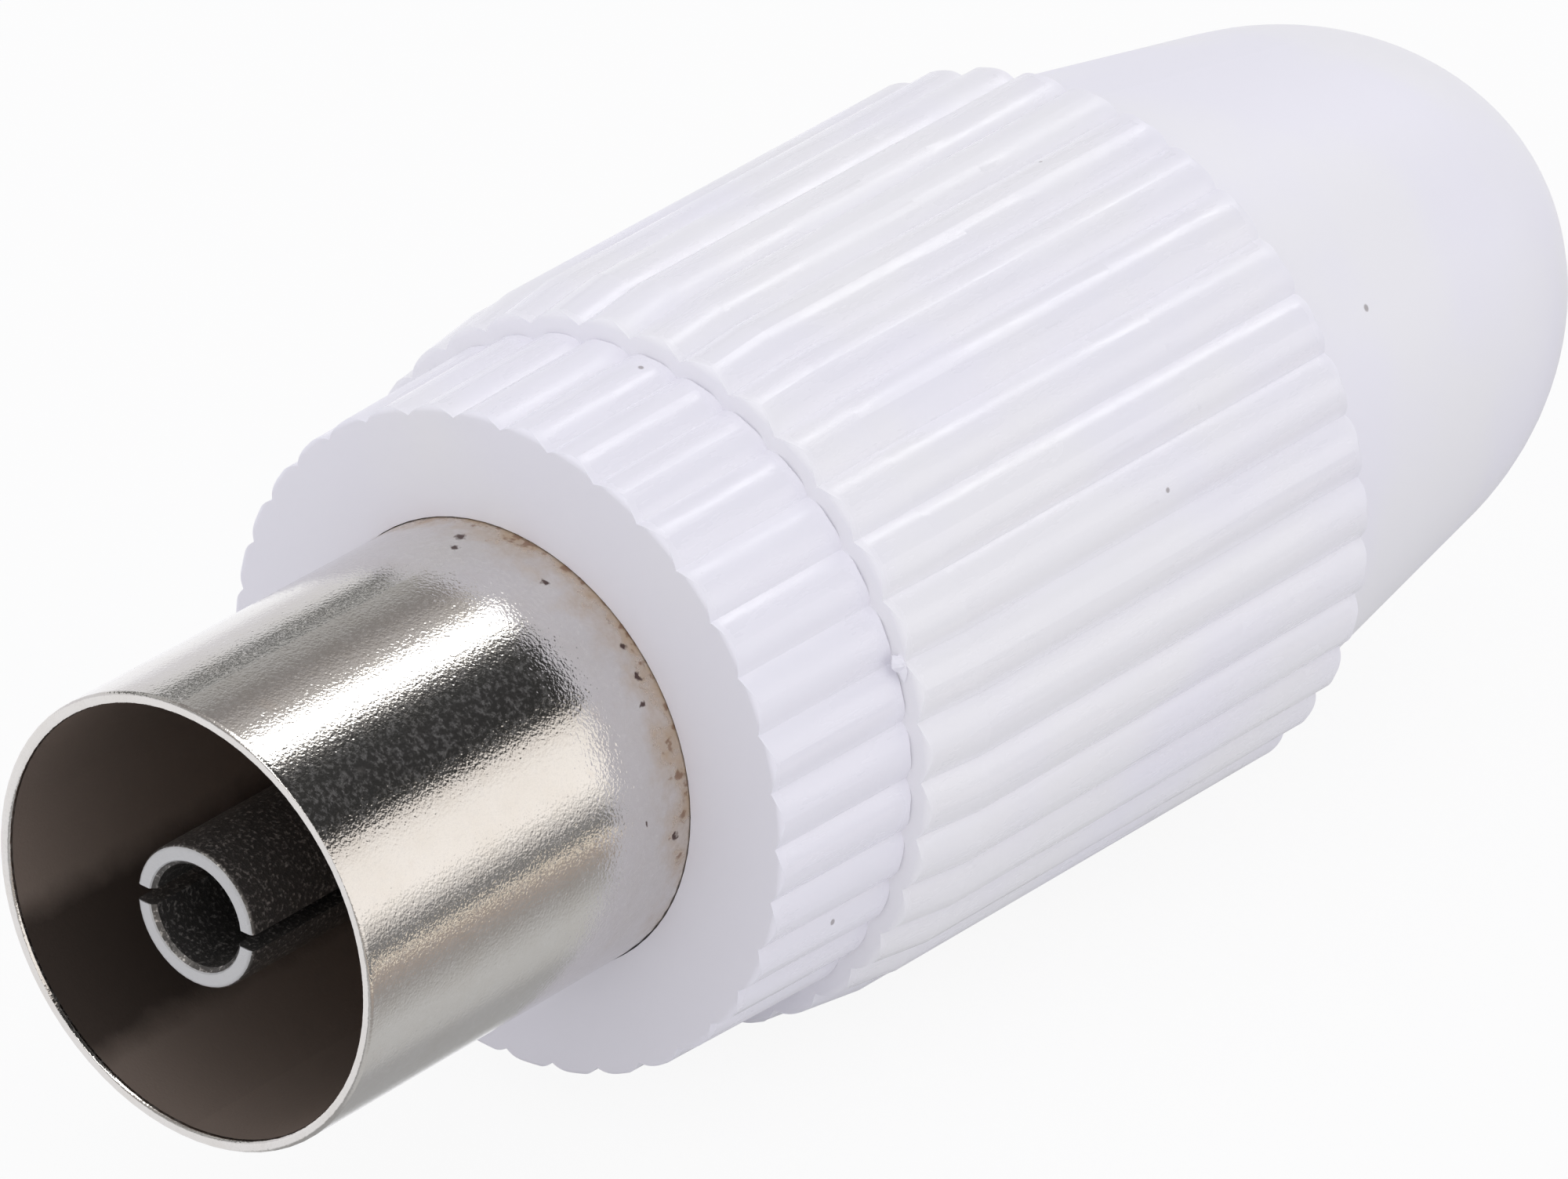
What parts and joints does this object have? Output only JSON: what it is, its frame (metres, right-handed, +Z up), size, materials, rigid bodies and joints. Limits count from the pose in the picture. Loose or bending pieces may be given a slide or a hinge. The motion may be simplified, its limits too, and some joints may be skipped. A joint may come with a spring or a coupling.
{
  "type": "coaxial aerial socket",
  "caption": "Round coaxial cable socket with a thin plated outer tube, a split centre contact and a ribbed two-piece plastic housing with a bullet tail.",
  "frame": {"origin": "centre of the mouth of the outer tube, where a mating plug enters", "axes": "+Y along the connector's axis from the mouth to the cable hole, +Z up as it lies on a table, +X to its right"},
  "size_m": [0.017, 0.0428, 0.017],
  "materials": {
    "nickel_plate": "gloss",
    "brown_laminate": "satin",
    "contact_metal": "satin",
    "stamped_steel": "satin",
    "screw_steel": "satin",
    "white_plastic": "satin"
  },
  "bodies": {
    "rear_shell": {"rear_shell": "white_plastic"},
    "core": {"outer_sleeve": "nickel_plate", "insulator_disc": "brown_laminate", "centre_contact": "contact_metal", "cable_frame": "stamped_steel"},
    "collar": {"front_collar": "white_plastic"},
    "clamp_strap": {"clamp_strap": "stamped_steel"},
    "clamp_screw_left": {"clamp_screw_left": "screw_steel"},
    "clamp_screw_right": {"clamp_screw_right": "screw_steel"},
    "terminal_screw": {"terminal_screw": "screw_steel"}
  },
  "joints": [
    {"name": "core_travel", "type": "slide", "parent": "rear_shell", "child": "core", "axis": [0, -1, 0], "range_m": [0, 0.006]},
    {"name": "collar_turn", "type": "hinge", "parent": "core", "child": "collar", "pos_m": [0, 0.0122, 0], "axis": [0, -1, 0], "range_deg": [0, 1440]},
    {"name": "clamp_lift", "type": "slide", "parent": "core", "child": "clamp_strap", "axis": [0, 0, 1], "range_m": [-0.0006, 0.0006]},
    {"name": "clamp_screw_left_turn", "type": "hinge", "parent": "clamp_strap", "child": "clamp_screw_left", "pos_m": [-0.00465, 0.0261, 0.0014], "axis": [0, 0, 1], "range_deg": [-540, 540]},
    {"name": "clamp_screw_right_turn", "type": "hinge", "parent": "clamp_strap", "child": "clamp_screw_right", "pos_m": [0.00465, 0.0261, 0.0014], "axis": [0, 0, 1], "range_deg": [-540, 540]},
    {"name": "terminal_screw_travel", "type": "slide", "parent": "core", "child": "terminal_screw", "axis": [0, 0, 1], "range_m": [0, 0.0012]}
  ],
  "couplings": [
    {"joint": "collar_turn", "follows": "core_travel", "rad_per_m": 4188.8},
    {"joint": "clamp_screw_left_turn", "follows": "clamp_lift", "rad_per_m": 15708},
    {"joint": "clamp_screw_right_turn", "follows": "clamp_lift", "rad_per_m": 15708}
  ]
}
